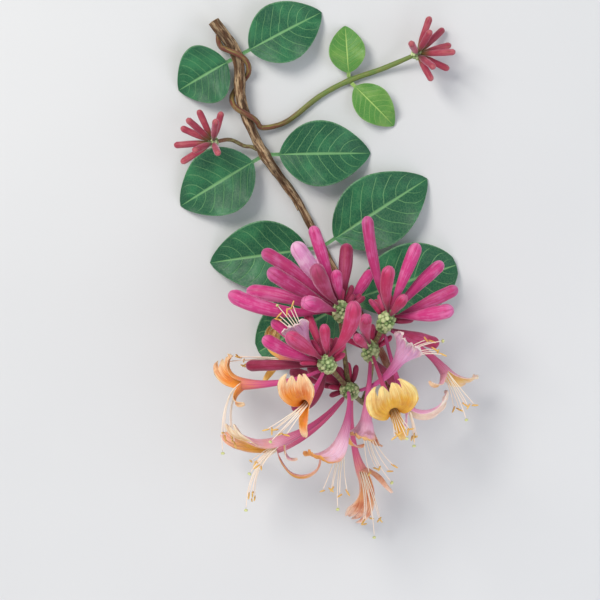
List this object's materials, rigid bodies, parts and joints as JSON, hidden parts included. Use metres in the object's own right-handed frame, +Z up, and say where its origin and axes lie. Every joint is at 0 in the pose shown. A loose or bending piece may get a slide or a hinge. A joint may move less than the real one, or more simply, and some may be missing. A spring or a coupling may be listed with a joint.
{
  "type": "cut honeysuckle vine spray",
  "caption": "Cut flowering length of honeysuckle vine lying flat: twining woody stem, paired leaves, young bud clusters and one large head of pink buds and open two-lipped flowers.",
  "frame": {"origin": "on the surface it lies on, under the middle of the spray's bounding box", "axes": "+Z up from the surface towards the viewer, +Y along the spray towards the stem's cut end, the flower head at -Y"},
  "size_m": [0.1238, 0.2178, 0.0712],
  "materials": {
    "bark": "rough, fibrous brown bark that turns reddish green near the head",
    "green_stem": "smooth young green stem flushed with red",
    "leaf": "dark bluish green, softly glossy above and paler and matte beneath",
    "bud": "satin magenta pink with a fine bloom",
    "petal": "satin, pink outside, cream to golden orange inside"
  },
  "bodies": {
    "root": {"bud_a1": "bud", "bud_a10": "bud", "bud_a11": "bud", "bud_a14": "bud", "bud_a2": "bud", "bud_a3": "bud", "bud_a4": "bud", "bud_a5": "bud", "bud_a6": "bud", "bud_a7": "bud", "bud_a8": "bud", "bud_a9": "bud", "bud_b1": "bud", "bud_b2": "bud", "bud_b3": "bud", "bud_b4": "bud", "bud_b5": "bud", "bud_b6": "bud", "bud_b7": "bud", "bud_b8": "bud", "bud_c1": "bud", "bud_c2": "bud", "bud_c3": "bud", "bud_c4": "bud", "bud_c5": "bud", "bud_c6": "bud", "bud_c7": "bud", "bud_c8": "bud", "bud_d1": "bud", "bud_d2": "bud", "bud_e1": "bud", "bud_e2": "bud", "bud_e3": "bud", "flower_bell": "petal", "flower_blush": "petal", "flower_cream": "petal", "flower_fan": "petal", "flower_front": "petal", "flower_gold": "petal", "flower_hook": "petal", "flower_left": "petal", "flower_long": "petal", "flower_pale": "petal", "flower_peach": "petal", "flower_right": "petal", "flower_stalk": "green_stem", "flower_wide": "petal", "joined_leaves": "leaf", "leaf_1": "leaf", "leaf_2": "leaf", "leaf_3": "leaf", "leaf_4": "leaf", "leaf_5": "leaf", "leaf_6": "leaf", "leaf_7": "leaf", "leaf_8": "leaf", "twining_shoot": "green_stem", "vine_stem": "bark", "young_cluster_left": "bud", "young_cluster_right": "bud"}
  },
  "joints": []
}
